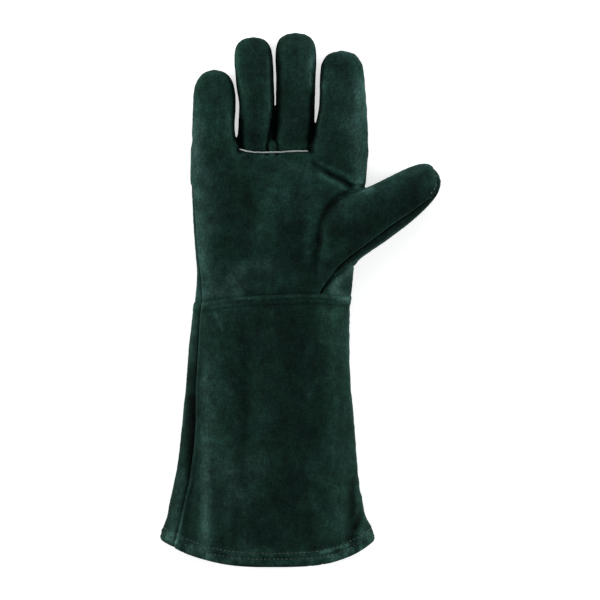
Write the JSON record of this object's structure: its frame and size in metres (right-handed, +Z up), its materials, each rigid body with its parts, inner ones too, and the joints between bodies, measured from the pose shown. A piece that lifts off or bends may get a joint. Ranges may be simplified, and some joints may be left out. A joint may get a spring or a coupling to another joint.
{
  "type": "elbow-length welding glove",
  "caption": "Right-hand gauntlet glove of thick suede, palm up, with set-in middle fingers, forked side strips, a wing thumb and a long flared cuff open at its hem.",
  "frame": {"origin": "middle of the glove's outline in plan, on the surface that the glove lies on", "axes": "+Y towards the fingertips, +X towards the thumb, +Z up out of the palm, with the back of the hand underneath"},
  "size_m": [0.2387, 0.4572, 0.044],
  "materials": {
    "hand_leather": "dark green split suede, matt, with a light nap at the edges",
    "cuff_leather": "dark green split suede, matt, a little darker",
    "welt_strip": "white piping, matt",
    "thread": "pale grey-green sewing thread"
  },
  "bodies": {
    "root": {"palm_panel": "hand_leather", "ring_finger_front": "hand_leather", "middle_finger_front": "hand_leather", "fourchette_little_ring": "hand_leather", "fourchette_ring_middle": "hand_leather", "fourchette_middle_index": "hand_leather", "back_panel": "hand_leather", "thumb_back": "hand_leather", "cuff_front": "cuff_leather", "cuff_back": "cuff_leather", "welt": "welt_strip"}
  },
  "joints": []
}
